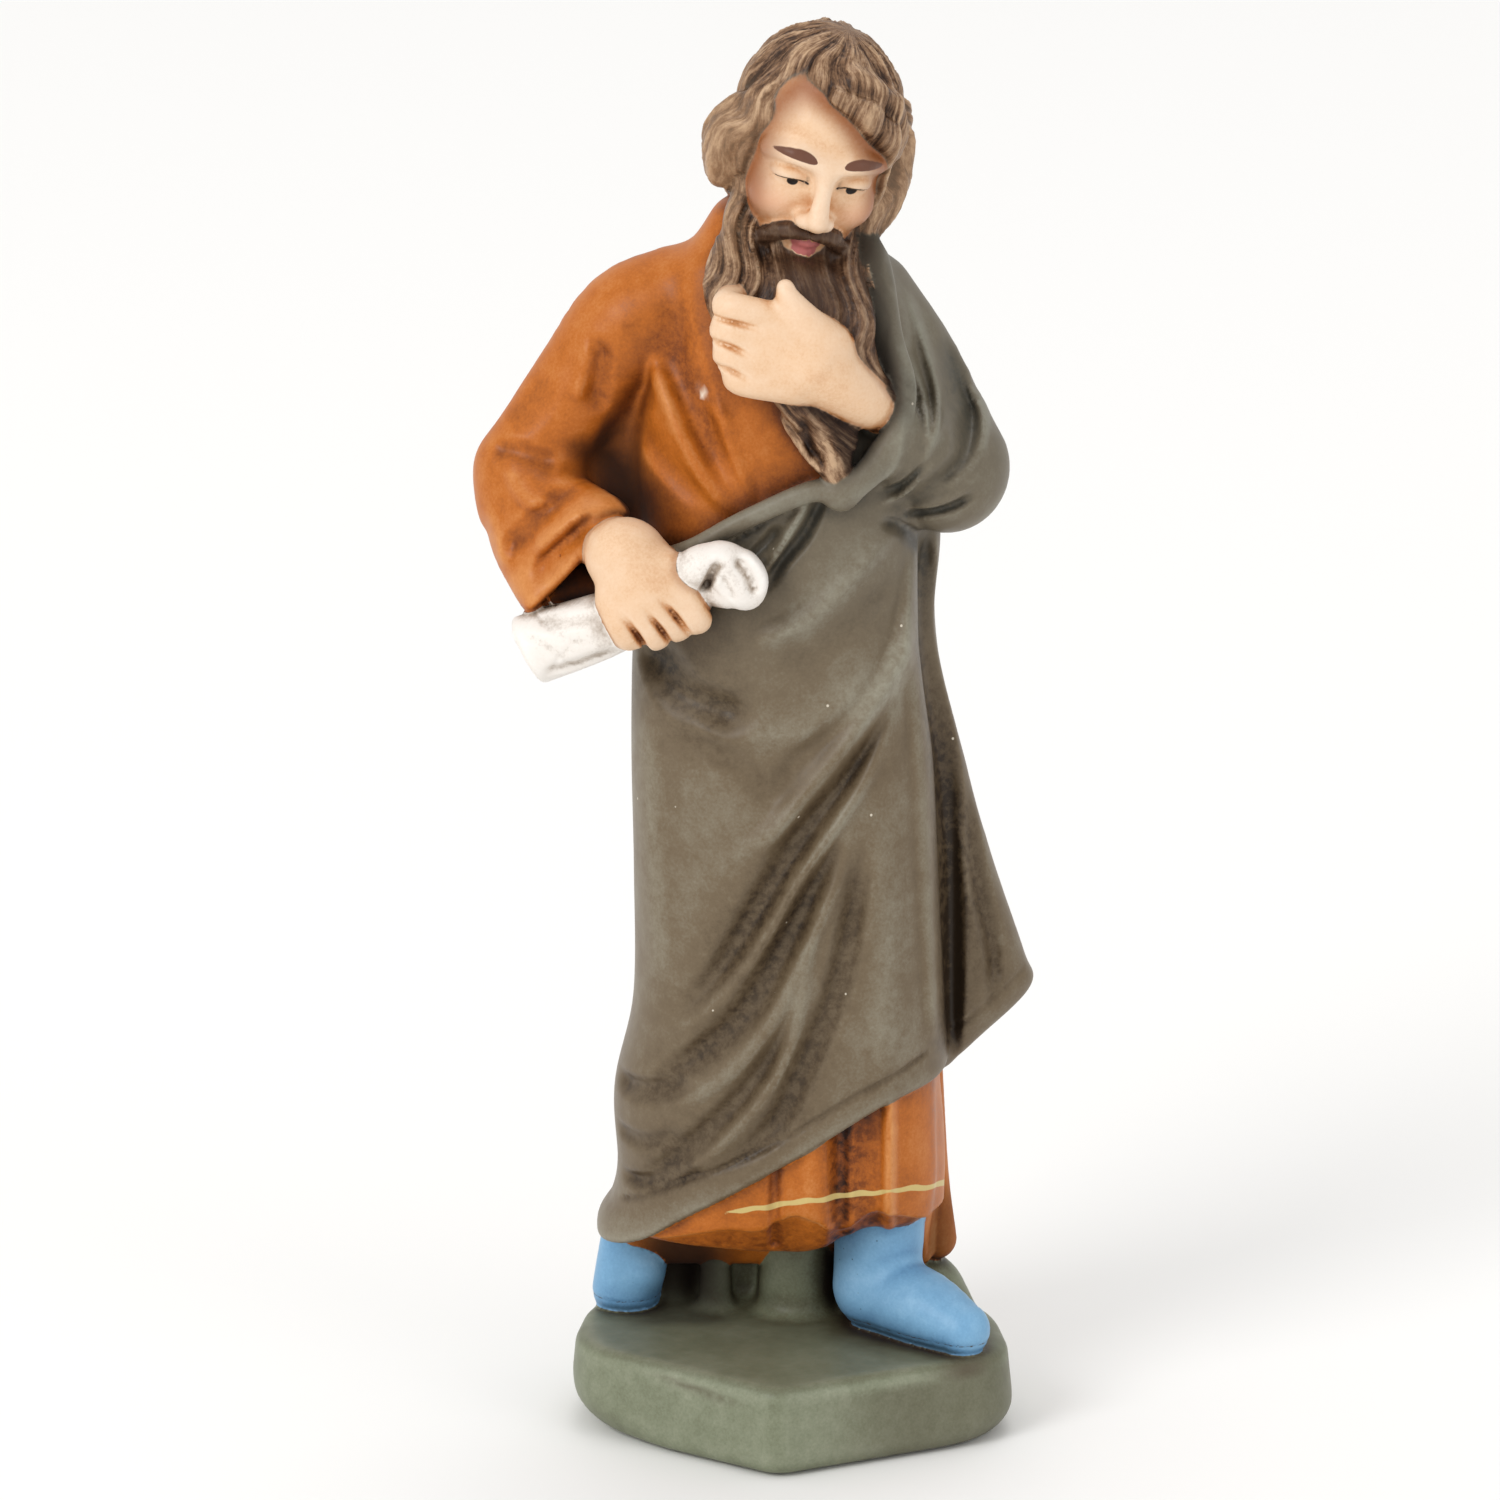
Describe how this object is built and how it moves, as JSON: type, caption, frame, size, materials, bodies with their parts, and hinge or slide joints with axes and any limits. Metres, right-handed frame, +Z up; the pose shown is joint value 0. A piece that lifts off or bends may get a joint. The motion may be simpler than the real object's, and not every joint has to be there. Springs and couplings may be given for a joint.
{
  "type": "nativity figure",
  "caption": "Standing nativity figure of a bearded man in tunic and mantle with a scroll, cast in one piece with its bevelled base.",
  "frame": {"origin": "middle of the base's flat underside, on the surface that the figure stands on", "axes": "+Z up through the head, -Y the way the figure faces, +X towards its left hand side as it stands"},
  "size_m": [0.057, 0.0395, 0.1497],
  "materials": {
    "painted_plaster": "hand-painted satin with a dark wash in the hollows"
  },
  "bodies": {
    "root": {"figure": "painted_plaster"}
  },
  "joints": []
}
